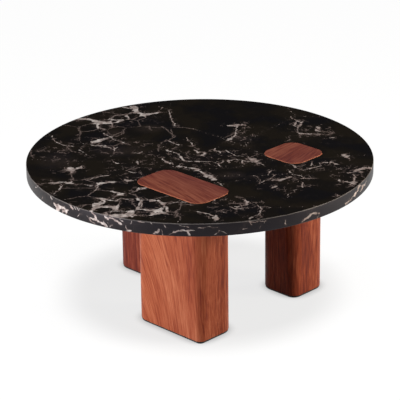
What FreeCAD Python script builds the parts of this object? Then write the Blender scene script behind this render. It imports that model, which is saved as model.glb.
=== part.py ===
import FreeCAD, Part
import math
import os
import re
from collections import namedtuple

import Sketcher
from FreeCAD import Placement, Rotation, Vector

# A low round table: a marble disc on three upright wooden legs that stand at odd places under it.
# The origin is on the floor under the middle of the disc, X runs along the front leg, Z is up.
# Two of the legs seem to pass through the stone, because wood inlays of much the same outline sit above them.

# Driving sizes in millimetres: name, value, what it measures.
SIZES = (
    ("table_height", 335, "floor to the upper face of the stone"),
    ("top_diameter", 800, "the stone disc, across"),
    ("top_thickness", 30, "the stone disc"),
    ("top_edge_radius", 2, "rounding of both rim edges of the stone"),
    ("leg_depth", 113, "every leg, across its glue line"),
    ("long_leg_length", 210, "front and rear leg, along their glue line"),
    ("square_leg_length", 113, "right leg, along its glue line"),
    ("leg_corner_radius", 36, "upright corners of the legs"),
    ("front_foot_corner_radius", 16, "the front leg's near corner, where it has narrowed at the foot"),
    ("right_foot_corner_radius", 22, "the right leg's near corner, where it has narrowed at the foot"),
    ("foot_chamfer", 1, "lower edges of the legs"),
    ("front_leg_x", 103.5, "middle of the front leg"),
    ("front_leg_y", -160, "middle of the front leg"),
    ("right_leg_x", 145, "middle of the right leg"),
    ("right_leg_y", 161, "middle of the right leg"),
    ("rear_leg_x", -191.5, "middle of the rear leg"),
    ("rear_leg_y", 64.5, "middle of the rear leg"),
    ("inlay_depth", 10, "pockets in the stone for the inlays"),
    ("inlay_corner_radius", 31, "upright corners of those pockets"),
    ("inlay_rise", 1.5, "how far the inlays stand above the stone"),
    ("inlay_edge_radius", 1.2, "rounding of the inlays' upper edges"),
    ("inlay_gap", 0.3, "glue line round the inlays"),
    ("pad_thickness", 3, "foot pads"),
    ("pad_inset", 1, "foot pads, back from the outline of the leg"),
    ("front_pad_corner_radius", 10, "the front pad's near corner, which shows past the wood"),
    ("right_pad_corner_radius", 18, "the right pad's near corner"),
    ("gasket_thickness", 1.5, "gaskets between stone and legs"),
    ("gasket_inset", 4, "gaskets, back from the outline of the leg"),
    ("rod_diameter", 8, "threaded tie rods"),
    ("rod_clearance", 1, "room round a rod in the leg and in the gasket"),
    ("rod_chamfer", 0.8, "both ends of a rod"),
    ("rod_overrun", 4, "end of a rod that shows below its nut"),
    ("rod_end_gap", 2, "from a rod's upper end to the upper end of its insert"),
    ("long_rod_spacing", 120, "between the two rods of an oblong leg"),
    ("square_rod_spacing", 56, "between the two rods of the square leg"),
    ("thread_clearance", 0.1, "between threads that hold each other"),
    ("washer_diameter", 24, "washers under the nuts"),
    ("washer_thickness", 2, "washers under the nuts"),
    ("washer_clearance", 0.2, "between a washer and its rod"),
    ("nut_width", 13, "nuts, across the flats"),
    ("nut_height", 6.5, "nuts"),
    ("recess_clearance", 1, "room round a washer in its recess"),
    ("recess_room", 11, "free depth of a recess below the end of the rod"),
    ("insert_diameter", 14, "threaded inserts in the stone"),
    ("insert_cover", 6, "stone left between an insert's hole and an inlay's pocket"),
    ("insert_gap", 0.2, "resin round an insert and at its end"),
    ("screw_diameter", 3.5, "wood screws in the foot pads"),
    ("screw_head_diameter", 7, "countersunk heads of the screws"),
    ("screw_length", 16, "wood screws, over all"),
    ("screw_tip_length", 4, "pointed end of a screw"),
    ("screw_head_sink", 0.4, "heads of the screws, above the face of the pad"),
    ("screw_clearance", 0.2, "room round a screw in the pad"),
    ("screw_edge_distance", 20, "screws, in from two sides of the leg"),
    ("pilot_overrun", 1, "room past a screw's tip"),
)

# A leg's middle, its length, the spacing of its rods, and whether it is turned to lie along Y.
Leg = namedtuple("Leg", "name x y length rod_spacing turned")
LEGS = (
    Leg("front", "front_leg_x", "front_leg_y", "long_leg_length", "long_rod_spacing", False),
    Leg("right", "right_leg_x", "right_leg_y", "square_leg_length", "square_rod_spacing", False),
    Leg("rear", "rear_leg_x", "rear_leg_y", "long_leg_length", "long_rod_spacing", True),
)

# Heights that several pieces share.
TOP_UNDERSIDE = "table_height - top_thickness"
LEG_TOP = f"{TOP_UNDERSIDE} - gasket_thickness"
RECESS_DEPTH = "washer_thickness + nut_height + rod_overrun + recess_room"
RECESS_CEILING = f"pad_thickness + {RECESS_DEPTH}"
INSERT_HOLE_DEPTH = "top_thickness - inlay_depth - insert_cover"
INSERT_LENGTH = f"{INSERT_HOLE_DEPTH} - insert_gap"

HALF_TURN = 180
QUARTER_TURN = 90
NEAR = 1e-6

doc = FreeCAD.newDocument("coffee_table")
sheet = doc.addObject("Spreadsheet::Sheet", "Sizes")
for row, (alias, number, note) in enumerate(SIZES, 1):
    sheet.set(f"A{row}", alias)
    sheet.set(f"B{row}", str(number))
    sheet.setAlias(f"B{row}", alias)
    sheet.set(f"C{row}", note)
doc.recompute()

sub_parts = []


def value(formula):
    return float(sheet.evalExpression(formula))


def bind(item, prop, formula):
    """Tie a property to the sheet. A formula is written in the names of its cells."""
    item.setExpression(prop, re.sub(r"\b[a-z_]+\b(?!\()", r"Sizes.\g<0>", formula))


def new_body(label, x="0", y="0", turn=0):
    body = doc.addObject("PartDesign::Body", label)
    body.Label = label
    body.Placement = Placement(Vector(value(x), value(y), 0), Rotation(Vector(0, 0, 1), turn))
    bind(body, "Placement.Base.x", x)
    bind(body, "Placement.Base.y", y)
    return body


def flat_sketch(body, name, height="0", x="0", y="0"):
    """An empty sketch that lies level in the body, with its origin at the given place."""
    sketch = body.newObject("Sketcher::SketchObject", f"{body.Name}_{name}")
    plane = next(item for item in body.Origin.OriginFeatures if item.Role == "XY_Plane")
    sketch.AttachmentSupport = [(plane, "")]
    sketch.MapMode = "FlatFace"
    for axis, formula in (("x", x), ("y", y), ("z", height)):
        bind(sketch, f"AttachmentOffset.Base.{axis}", formula)
    return sketch


def constrain(sketch, name, formula, kind, *where):
    """A dimension in a sketch that follows the sheet."""
    index = sketch.addConstraint(Sketcher.Constraint(kind, *where, value(formula)))
    sketch.renameConstraint(index, name)
    bind(sketch, f"Constraints.{name}", formula)


def draw_outline(sketch, left, right, front, back, radii):
    """Four straight sides at the given distances from the sketch's origin, corners rounded by radii.

    The corners are front left, front right, back right and back left. A radius of None is a sharp
    corner, and a back of None lies on the sketch's X axis.
    """
    x_near, x_far = -value(left), value(right)
    y_near, y_far = -value(front), value(back) if back else 0
    corners = [Vector(x_near, y_near), Vector(x_far, y_near), Vector(x_far, y_far), Vector(x_near, y_far)]
    rounds = [value(radius) if radius else 0 for radius in radii]
    ways = [Vector(1, 0), Vector(0, 1), Vector(-1, 0), Vector(0, -1)]
    sides = []
    for i, way in enumerate(ways):
        following = (i + 1) % 4
        start = corners[i] + way * rounds[i]
        end = corners[following] - way * rounds[following]
        sides.append(sketch.addGeometry(Part.LineSegment(start, end)))
        sketch.addConstraint(Sketcher.Constraint("Vertical" if i % 2 else "Horizontal", sides[i]))
    for i, way in enumerate(ways):
        following = (i + 1) % 4
        radius = radii[following]
        if radius is None:
            sketch.addConstraint(Sketcher.Constraint("Coincident", sides[i], 2, sides[following], 1))
            continue
        middle = corners[following] + (ways[following] - way) * rounds[following]
        circle = Part.Circle(middle, Vector(0, 0, 1), rounds[following])
        begin = math.radians(QUARTER_TURN * (i - 1))
        corner = sketch.addGeometry(Part.ArcOfCircle(circle, begin, begin + math.radians(QUARTER_TURN)))
        sketch.addConstraint(Sketcher.Constraint("Tangent", sides[i], 2, corner, 1))
        sketch.addConstraint(Sketcher.Constraint("Tangent", corner, 2, sides[following], 1))
        constrain(sketch, f"corner_{following}", radius, "Radius", corner)
    constrain(sketch, "front", front, "DistanceY", sides[0], 1, -1, 1)
    constrain(sketch, "right", right, "DistanceX", -1, 1, sides[1], 1)
    constrain(sketch, "left", left, "DistanceX", sides[3], 1, -1, 1)
    if back:
        constrain(sketch, "back", back, "DistanceY", -1, 1, sides[2], 1)
    else:
        sketch.addConstraint(Sketcher.Constraint("PointOnObject", sides[2], 1, -1))


def draw_circles(sketch, radius, places):
    """Equal circles. A place of None along an axis lies on the sketch's origin there."""
    for i, (x, y) in enumerate(places):
        middle = Vector(value(x) if x else 0, value(y) if y else 0)
        circle = sketch.addGeometry(Part.Circle(middle, Vector(0, 0, 1), value(radius)))
        constrain(sketch, f"radius_{i}", radius, "Radius", circle)
        if x:
            constrain(sketch, f"x_{i}", x, "DistanceX", -1, 1, circle, 3)
        else:
            sketch.addConstraint(Sketcher.Constraint("PointOnObject", circle, 3, -2))
        if y:
            constrain(sketch, f"y_{i}", y, "DistanceY", -1, 1, circle, 3)
        else:
            sketch.addConstraint(Sketcher.Constraint("PointOnObject", circle, 3, -1))


def pad(body, sketch, name, length):
    feature = body.newObject("PartDesign::Pad", f"{body.Name}_{name}")
    feature.Profile = sketch
    bind(feature, "Length", length)
    doc.recompute()
    return feature


def pocket(body, sketch, name, depth=None, upward=False):
    """Cut a sketch into the body, right through where no depth is given, and see that it did cut."""
    before = body.Tip.Shape.Volume
    feature = body.newObject("PartDesign::Pocket", f"{body.Name}_{name}")
    feature.Profile = sketch
    feature.Reversed = upward
    if depth:
        bind(feature, "Length", depth)
    else:
        feature.Type = "ThroughAll"
    doc.recompute()
    if not feature.Shape.Volume < before - NEAR:
        raise RuntimeError(f"{feature.Name} cuts nothing")
    return feature


def dress_edges(body, kind, name, size, wanted):
    """Fillet or chamfer the edges of the body that are wanted."""
    base = body.Tip
    edges = [f"Edge{i}" for i, edge in enumerate(base.Shape.Edges, 1) if wanted(edge)]
    feature = body.newObject(f"PartDesign::{kind}", f"{body.Name}_{name}")
    feature.Base = (base, edges)
    bind(feature, "Radius" if kind == "Fillet" else "Size", size)
    doc.recompute()
    return feature


def level_at(edge, height):
    box = edge.BoundBox
    return abs(box.ZMin - height) < NEAR and abs(box.ZMax - height) < NEAR


def place_on(leg, along, across):
    """Where a place on a leg, along and across its glue line, lies in the table's frame."""
    if leg.turned:
        return f"{leg.x} - ({across})", f"{leg.y} + ({along})"
    return f"{leg.x} + ({along})", f"{leg.y} + ({across})"


def rod_steps(leg):
    return f"-{leg.rod_spacing} / 2", f"{leg.rod_spacing} / 2"


def screw_steps(leg):
    along = f"{leg.length} / 2 - screw_edge_distance"
    across = "leg_depth / 2 - screw_edge_distance"
    return [(f"{side_x} * ({along})", f"{side_y} * ({across})") for side_y in (-1, 1) for side_x in (-1, 1)]


def leg_outline(sketch, leg, inset, corner="leg_corner_radius", near_corner=None):
    """The whole outline of a leg, drawn in by an inset, with one corner given its own radius if need be."""
    half_length = f"{leg.length} / 2 - {inset}"
    half_depth = f"leg_depth / 2 - {inset}"
    radius = f"{corner} - {inset}"
    radii = [radius, near_corner or radius, radius, radius]
    draw_outline(sketch, half_length, half_length, half_depth, half_depth, radii)


def marble_top():
    """The disc, with pockets for the inlays above and blind holes for the inserts below."""
    body = new_body("marble_top")
    disc = flat_sketch(body, "disc", TOP_UNDERSIDE)
    draw_circles(disc, "top_diameter / 2", [(None, None)])
    pad(body, disc, "slab", "top_thickness")
    for leg in LEGS[:2]:
        outline = flat_sketch(body, f"{leg.name}_outline", "table_height", leg.x, leg.y)
        leg_outline(outline, leg, "0", "inlay_corner_radius")
        pocket(body, outline, f"{leg.name}_pocket", "inlay_depth")
    holes = flat_sketch(body, "insert_places", TOP_UNDERSIDE)
    places = [place_on(leg, step, "0") for leg in LEGS for step in rod_steps(leg)]
    draw_circles(holes, "insert_diameter / 2 + insert_gap", places)
    pocket(body, holes, "insert_holes", INSERT_HOLE_DEPTH, upward=True)
    rim = value("top_diameter / 2")

    def on_rim(edge):
        return isinstance(edge.Curve, Part.Circle) and abs(edge.Curve.Radius - rim) < NEAR

    dress_edges(body, "Fillet", "eased_rim", "top_edge_radius", on_rim)
    sub_parts.append(body)


def inlay(leg):
    """A flat piece of wood in the stone's pocket above a leg, a little proud, with its edge eased."""
    body = new_body(f"{leg.name}_inlay", leg.x, leg.y)
    outline = flat_sketch(body, "outline", "table_height - inlay_depth")
    leg_outline(outline, leg, "inlay_gap", "inlay_corner_radius")
    pad(body, outline, "board", "inlay_depth + inlay_rise")
    upper_face = value("table_height + inlay_rise")
    dress_edges(body, "Fillet", "eased_edge", "inlay_edge_radius", lambda edge: level_at(edge, upper_face))
    sub_parts.append(body)


def stave(leg, side, turn, foot_corner="leg_corner_radius"):
    """Half of a leg, drawn on the front of its glue line and turned into place.

    Half-round channels along the glue face take the rods, with wider recesses for the nuts at the foot,
    and pilot holes take the pad's screws. A corner can have a radius of its own at the foot.
    """
    body = new_body(f"{leg.name}_leg_{side}_stave", leg.x, leg.y, turn)
    sections = []
    for name, height, inset, near_corner in (
        ("foot", "pad_thickness", "foot_chamfer", foot_corner),
        ("ankle", "pad_thickness + foot_chamfer", "0", foot_corner),
        ("head", LEG_TOP, "0", "leg_corner_radius"),
    ):
        section = flat_sketch(body, name, height)
        half_length = f"{leg.length} / 2 - {inset}"
        radii = [f"leg_corner_radius - {inset}", f"{near_corner} - {inset}", None, None]
        draw_outline(section, half_length, half_length, f"leg_depth / 2 - {inset}", None, radii)
        sections.append(section)
    blank = body.newObject("PartDesign::AdditiveLoft", f"{body.Name}_blank")
    blank.Profile = sections[0]
    blank.Sections = sections[1:]
    blank.Ruled = True
    doc.recompute()
    rods = [(step, None) for step in rod_steps(leg)]
    screws = [place for place in screw_steps(leg) if value(place[1]) < 0]
    pilot_depth = "screw_head_sink + screw_length + pilot_overrun - pad_thickness"
    cuts = (
        ("rod_channels", "rod_diameter / 2 + rod_clearance", rods, f"{LEG_TOP} - pad_thickness"),
        ("nut_recesses", "washer_diameter / 2 + recess_clearance", rods, RECESS_DEPTH),
        ("pilot_holes", "screw_diameter / 2 + thread_clearance", screws, pilot_depth),
    )
    for name, radius, places, depth in cuts:
        circles = flat_sketch(body, f"{name}_places", "pad_thickness")
        draw_circles(circles, radius, places)
        pocket(body, circles, name, depth, upward=True)
    sub_parts.append(body)


def foot_pad(leg, near_corner=None):
    """A thin black pad under a leg, with countersunk holes for its screws."""
    body = new_body(f"{leg.name}_foot_pad", leg.x, leg.y, QUARTER_TURN if leg.turned else 0)
    outline = flat_sketch(body, "outline")
    leg_outline(outline, leg, "pad_inset", near_corner=near_corner)
    pad(body, outline, "plate", "pad_thickness")
    hole = "screw_diameter / 2 + screw_clearance"
    holes = flat_sketch(body, "screw_places")
    draw_circles(holes, hole, screw_steps(leg))
    pocket(body, holes, "screw_holes", upward=True)

    def hole_mouth(edge):
        return level_at(edge, 0) and isinstance(edge.Curve, Part.Circle) and edge.isClosed()

    sink = "screw_head_diameter / 2 - screw_diameter / 2 + screw_head_sink"
    dress_edges(body, "Chamfer", "countersinks", sink, hole_mouth)
    sub_parts.append(body)


def gasket(leg):
    """A thin soft sheet between a leg and the stone, with room for the rods."""
    body = new_body(f"{leg.name}_leg_gasket", leg.x, leg.y, QUARTER_TURN if leg.turned else 0)
    outline = flat_sketch(body, "outline", LEG_TOP)
    leg_outline(outline, leg, "gasket_inset")
    pad(body, outline, "sheet", "gasket_thickness")
    holes = flat_sketch(body, "rod_places", LEG_TOP)
    draw_circles(holes, "rod_diameter / 2 + rod_clearance", [(step, None) for step in rod_steps(leg)])
    pocket(body, holes, "rod_holes", upward=True)
    sub_parts.append(body)


def group_of(label, master, places):
    """Equal fasteners at several places, as one group of separate solids."""
    copies = []
    for i, (x, y) in enumerate(places, 1):
        copy = doc.addObject("App::Link", f"{label}_{i}")
        copy.LinkedObject = master
        copy.LinkTransform = True
        bind(copy, "Placement.Base.x", x)
        bind(copy, "Placement.Base.y", y)
        copies.append(copy)
    group = doc.addObject("Part::Compound", label)
    group.Label = label
    group.Links = copies
    sub_parts.append(group)


def ring(label, radius, bore, bottom, height):
    """An upright sleeve or washer, as a body to copy."""
    body = new_body(label)
    outline = flat_sketch(body, "outline", bottom)
    draw_circles(outline, radius, [(None, None)])
    pad(body, outline, "blank", height)
    middle = flat_sketch(body, "middle", bottom)
    draw_circles(middle, bore, [(None, None)])
    pocket(body, middle, "bore", upward=True)
    return body


def tie_rod():
    """A rod from its insert in the stone down past its nut, with both ends chamfered."""
    body = new_body("tie_rod")
    low_end = f"{RECESS_CEILING} - washer_thickness - nut_height - rod_overrun"
    high_end = f"{TOP_UNDERSIDE} + {INSERT_LENGTH} - rod_end_gap"
    section = flat_sketch(body, "section", low_end)
    draw_circles(section, "rod_diameter / 2", [(None, None)])
    pad(body, section, "bar", f"{high_end} - ({low_end})")
    ends = (value(low_end), value(high_end))
    dress_edges(body, "Chamfer", "ends", "rod_chamfer", lambda edge: any(level_at(edge, end) for end in ends))
    return body


def rod_nut():
    """A hexagon nut under its washer."""
    bottom = f"{RECESS_CEILING} - washer_thickness - nut_height"
    blank = doc.addObject("Part::Prism", "nut_blank")
    blank.Polygon = 6
    bind(blank, "Circumradius", "nut_width / sqrt(3)")
    bind(blank, "Height", "nut_height")
    bore = doc.addObject("Part::Cylinder", "nut_bore")
    bind(bore, "Radius", "rod_diameter / 2 + thread_clearance")
    bind(bore, "Height", "nut_height")
    for item in (blank, bore):
        bind(item, "Placement.Base.z", bottom)
    nut = doc.addObject("Part::Cut", "rod_nut")
    nut.Base = blank
    nut.Tool = bore
    return nut


def pad_screw():
    """A countersunk wood screw, head down: head cone, shank and pointed tip."""
    head_height = "(screw_head_diameter - screw_diameter) / 2"
    head = doc.addObject("Part::Cone", "screw_head")
    bind(head, "Radius1", "screw_head_diameter / 2")
    bind(head, "Radius2", "screw_diameter / 2")
    bind(head, "Height", head_height)
    bind(head, "Placement.Base.z", "screw_head_sink")
    shank = doc.addObject("Part::Cylinder", "screw_shank")
    bind(shank, "Radius", "screw_diameter / 2")
    bind(shank, "Height", f"screw_length - {head_height} - screw_tip_length")
    bind(shank, "Placement.Base.z", f"screw_head_sink + {head_height}")
    tip = doc.addObject("Part::Cone", "screw_tip")
    bind(tip, "Radius1", "screw_diameter / 2")
    tip.Radius2 = 0
    bind(tip, "Height", "screw_tip_length")
    bind(tip, "Placement.Base.z", "screw_head_sink + screw_length - screw_tip_length")
    screw = doc.addObject("Part::MultiFuse", "pad_screw")
    screw.Shapes = [head, shank, tip]
    return screw


def fasteners():
    rod_places = [place_on(leg, step, "0") for leg in LEGS for step in rod_steps(leg)]
    screw_places = [place_on(leg, *step) for leg in LEGS for step in screw_steps(leg)]
    threaded = "rod_diameter / 2 + thread_clearance"
    insert = ring("threaded_insert", "insert_diameter / 2", threaded, TOP_UNDERSIDE, INSERT_LENGTH)
    washer_bore = "rod_diameter / 2 + washer_clearance"
    washer_bottom = f"{RECESS_CEILING} - washer_thickness"
    washer = ring("rod_washer", "washer_diameter / 2", washer_bore, washer_bottom, "washer_thickness")
    group_of("threaded_inserts", insert, rod_places)
    group_of("tie_rods", tie_rod(), rod_places)
    group_of("rod_washers", washer, rod_places)
    group_of("rod_nuts", rod_nut(), rod_places)
    group_of("foot_pad_screws", pad_screw(), screw_places)


def check(item):
    if any(state in ("Invalid", "Error") for state in item.State):
        raise RuntimeError(f"{item.Name} failed: {item.State}")


def main():
    front, right, rear = LEGS
    marble_top()
    inlay(front)
    inlay(right)
    stave(front, "outer", 0, "front_foot_corner_radius")
    stave(front, "inner", HALF_TURN)
    stave(right, "outer", HALF_TURN)
    stave(right, "inner", 0, "right_foot_corner_radius")
    stave(rear, "outer", -QUARTER_TURN)
    stave(rear, "inner", QUARTER_TURN)
    foot_pad(front, "front_pad_corner_radius")
    foot_pad(right, "right_pad_corner_radius")
    foot_pad(rear)
    for leg in LEGS:
        gasket(leg)
    fasteners()
    doc.recompute()
    for item in doc.Objects:
        check(item)
    for part in sub_parts:
        if part.Shape.isNull() or not part.Shape.isValid():
            raise RuntimeError(f"{part.Label} has no valid shape")
    os.makedirs("parts", exist_ok=True)
    for part in sub_parts:
        part.Shape.exportStep(f"parts/{part.Label}.step")
        print(part.Label, len(part.Shape.Solids), "solids", round(part.Shape.Volume), "mm3")


main()
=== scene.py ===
import math
from typing import NamedTuple

import bmesh
import bpy
from mathutils import Matrix, Vector


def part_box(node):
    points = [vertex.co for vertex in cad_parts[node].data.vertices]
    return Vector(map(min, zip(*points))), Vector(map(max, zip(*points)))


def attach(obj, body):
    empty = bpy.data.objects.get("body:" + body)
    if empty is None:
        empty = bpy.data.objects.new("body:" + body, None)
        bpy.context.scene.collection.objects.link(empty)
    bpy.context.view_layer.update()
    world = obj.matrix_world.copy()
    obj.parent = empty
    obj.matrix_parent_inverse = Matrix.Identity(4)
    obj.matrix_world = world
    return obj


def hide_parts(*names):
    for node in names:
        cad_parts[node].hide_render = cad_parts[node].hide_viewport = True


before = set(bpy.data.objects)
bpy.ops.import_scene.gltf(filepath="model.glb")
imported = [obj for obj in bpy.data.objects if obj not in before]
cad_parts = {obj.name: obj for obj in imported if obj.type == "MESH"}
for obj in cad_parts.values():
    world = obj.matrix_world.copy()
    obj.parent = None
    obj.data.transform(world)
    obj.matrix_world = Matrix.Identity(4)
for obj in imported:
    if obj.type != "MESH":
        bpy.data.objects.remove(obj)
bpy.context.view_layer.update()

bl_info = {
    "name": "Marble coffee table",
    "version": (1, 0, 0),
    "blender": (4, 5, 0),
    "location": "3D View > Sidebar > Coffee table",
    "description": "A low round table: a veined black marble disc on three upright wooden legs",
    "category": "Object",
}

MM = 0.001
PER_MM = (1 / MM,) * 3
BLACK = (0.0, 0.0, 0.0)
WHITE = (1.0, 1.0, 1.0)
BODY = "root"
LEG_NAMES = ("front", "right", "rear")
INLAY_NAMES = ("front", "right")
STEEL_NODES = ("threaded_inserts", "tie_rods", "rod_washers", "rod_nuts", "foot_pad_screws")
# The side of each leg board that is glued, and which of its corners lie there: front left, front right,
# back right, back left.
GLUE_SIDES = {
    "front_outer": "back",
    "front_inner": "front",
    "right_outer": "front",
    "right_inner": "back",
    "rear_outer": "right",
    "rear_inner": "left",
}
GLUED_CORNERS = {
    "front": (True, True, False, False),
    "right": (False, True, True, False),
    "back": (False, False, True, True),
    "left": (True, False, False, True),
}


# Settings


def paint(*screen):
    """A colour as it is mixed on a screen, 0 to 255, turned into linear light."""
    return tuple(((c / 255 + 0.055) / 1.055) ** 2.4 if c > 10 else c / 255 / 12.92 for c in screen)


def colour_property(name, description, *screen):
    return bpy.props.FloatVectorProperty(
        name=name, description=description, subtype="COLOR", min=0, max=1, default=paint(*screen)
    )


def length_property(name, description, default):
    return bpy.props.FloatProperty(
        name=name, description=description, unit="LENGTH", min=0, default=default
    )


def angle_property(name, description, degrees):
    return bpy.props.FloatProperty(
        name=name, description=description, subtype="ANGLE", default=math.radians(degrees)
    )


def share_property(name, description, default):
    return bpy.props.FloatProperty(
        name=name, description=description, subtype="FACTOR", min=0, max=1, default=default
    )


def power_property(name, description, watts):
    return bpy.props.FloatProperty(name=name, description=description, unit="POWER", min=0, default=watts)


class StoneSettings(bpy.types.PropertyGroup):
    """Sizes and colours of the marble disc."""

    edge_radius: length_property("Edge radius", "Rounding of both rim edges", 2 * MM)
    pocket_depth: length_property("Pocket depth", "Pockets for the inlays", 10 * MM)
    pocket_corner: length_property("Pocket corner", "Upright corners of the pockets", 31 * MM)
    pocket_gap: length_property("Pocket gap", "Glue line between stone and inlay", 0.3 * MM)
    insert_radius: length_property("Insert radius", "Threaded inserts set into the underside", 7 * MM)
    hole_gap: length_property("Hole gap", "Resin round the inserts", 0.2 * MM)
    long_spread: length_property("Long spread", "Inserts from the middle of a long leg", 60 * MM)
    short_spread: length_property("Short spread", "Inserts from the middle of the square leg", 28 * MM)
    ground: colour_property("Ground", "Black ground of the stone", 29, 26, 24)
    olive: colour_property("Olive ground", "Browner, clearer patches of the ground", 37, 32, 26)
    blue: colour_property("Blue ground", "Bluish black patches of the ground", 24, 23, 26)
    vein: colour_property("Vein", "Brightest calcite in the veins", 248, 236, 231)
    vein_shade: colour_property("Vein shade", "Thin and stained parts of the veins", 172, 150, 144)
    stain: colour_property("Stain", "Faint brown veins and clouds", 95, 81, 75)
    sawn: colour_property("Sawn underside", "Dry, unpolished face below", 92, 89, 87)
    polish: share_property("Polish", "Roughness of the polished faces", 0.08)
    honed: share_property("Honed", "Roughness of the honed rim", 0.36)


class WoodSettings(bpy.types.PropertyGroup):
    """Sizes and colours of the wooden legs and inlays."""

    leg_corner: length_property("Leg corner", "Upright corners of the legs", 36 * MM)
    front_foot_corner: length_property("Front foot corner", "Near corner of the front leg's foot", 16 * MM)
    right_foot_corner: length_property("Right foot corner", "Near corner of the right leg's foot", 22 * MM)
    foot_chamfer: length_property("Foot chamfer", "Chamfer round the foot of a leg", 1 * MM)
    seam_ease: length_property("Seam ease", "Bevel of the two boards along their glue line", 0.3 * MM)
    inlay_edge: length_property("Inlay edge", "Rounding of the inlays' upper edges", 1.2 * MM)
    light: colour_property("Light wood", "Pale orange streaks", 198, 120, 87)
    middle: colour_property("Middle wood", "Main reddish brown", 176, 95, 65)
    dark: colour_property("Dark wood", "Red-brown streaks", 150, 70, 44)
    deep: colour_property("Deep wood", "Darkest streaks", 108, 46, 29)
    purple: colour_property("Purple wood", "Purple-brown heart streaks", 112, 46, 40)
    # Violet wood is partly the inlays' own purple-brown and partly a painted sheen: the bluish reflection
    # on their tops.
    violet: colour_property("Violet wood", "Violet-brown patches of the inlays", 116, 62, 66)
    pore: colour_property("Pore", "Open pores along the grain", 84, 38, 28)
    satin: share_property("Satin", "Roughness of the oiled wood", 0.42)


class FittingSettings(bpy.types.PropertyGroup):
    """Colours of pads, gaskets and steel."""

    pad: colour_property("Pad", "Foot pads", 24, 23, 23)
    rubber: colour_property("Rubber", "Gaskets under the stone", 38, 37, 36)
    dust: colour_property("Dust", "Dust and bloom on plastic and rubber", 150, 148, 144)
    zinc: colour_property("Zinc", "Plated fasteners", 176, 178, 180)
    zinc_warm: colour_property("Passivated zinc", "Yellowish bloom on the plating", 186, 178, 152)


class StageSettings(bpy.types.PropertyGroup):
    """Floor, lamps and camera."""

    floor: colour_property("Floor", "Pale studio floor", 250, 250, 250)
    floor_reach: length_property("Floor reach", "Radius of the floor", 40)
    floor_drop: length_property("Floor drop", "How far the floor lies below the pads", 0.2 * MM)
    floor_bounce: share_property("Floor bounce", "Share of the lamps' light that it throws back", 0.4)
    floor_shade: share_property("Floor shade", "Share of the lamps' light that is seen on it", 0.1)
    # Painted shadow: the floor's glow under the table is lowered to this brightness.
    painted_shadow_glow: share_property("Floor glow", "Brightness of the shaded floor under the table", 0.82)
    floor_mirrored: share_property("Floor mirrored", "Share of its brightness in reflections", 0.72)
    shade_start: length_property("Shade start", "Radius where the floor starts to brighten", 0.26)
    shade_end: length_property("Shade end", "Radius where the floor is white", 0.38)
    nook: length_property("Nook", "Reach of the shade where a foot meets the floor", 30 * MM)
    key_power: power_property("Key lamp", "Low soft box left of the front", 58)
    side_power: power_property("Side lamp", "Low soft box on the right", 58)
    top_power: power_property("Top lamp", "Soft box overhead", 20.5)
    plain_light: colour_property("Plain light", "Light of the key and top lamps", 255, 255, 255)
    warm_light: colour_property("Warm light", "Light of the side lamp", 255, 247, 230)
    lens: bpy.props.FloatProperty(name="Lens", description="Focal length", unit="CAMERA", default=180.83)
    azimuth: angle_property("Azimuth", "Camera's place round the table, from the front", 44.665)
    elevation: angle_property("Elevation", "Camera's height above the horizon", 22.239)
    roll: angle_property("Roll", "Camera's tilt about its view", -0.745)
    distance: length_property("Distance", "Camera to its aim", 4.636)
    aim_right: length_property("Aim right", "Aim, right of the middle of the top", 0.6 * MM)
    aim_down: length_property("Aim down", "Aim, below the middle of the top", 100.7 * MM)


# Shader sums


class Socket:
    """An output socket that takes part in sums. Each operation adds one Math node."""

    def __init__(self, sheet, socket):
        self.sheet = sheet
        self.socket = socket

    def __add__(self, other):
        return self.sheet.math("ADD", self, other)

    def __radd__(self, other):
        return self.sheet.math("ADD", other, self)

    def __sub__(self, other):
        return self.sheet.math("SUBTRACT", self, other)

    def __rsub__(self, other):
        return self.sheet.math("SUBTRACT", other, self)

    def __mul__(self, other):
        return self.sheet.math("MULTIPLY", self, other)

    def __rmul__(self, other):
        return self.sheet.math("MULTIPLY", other, self)


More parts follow.
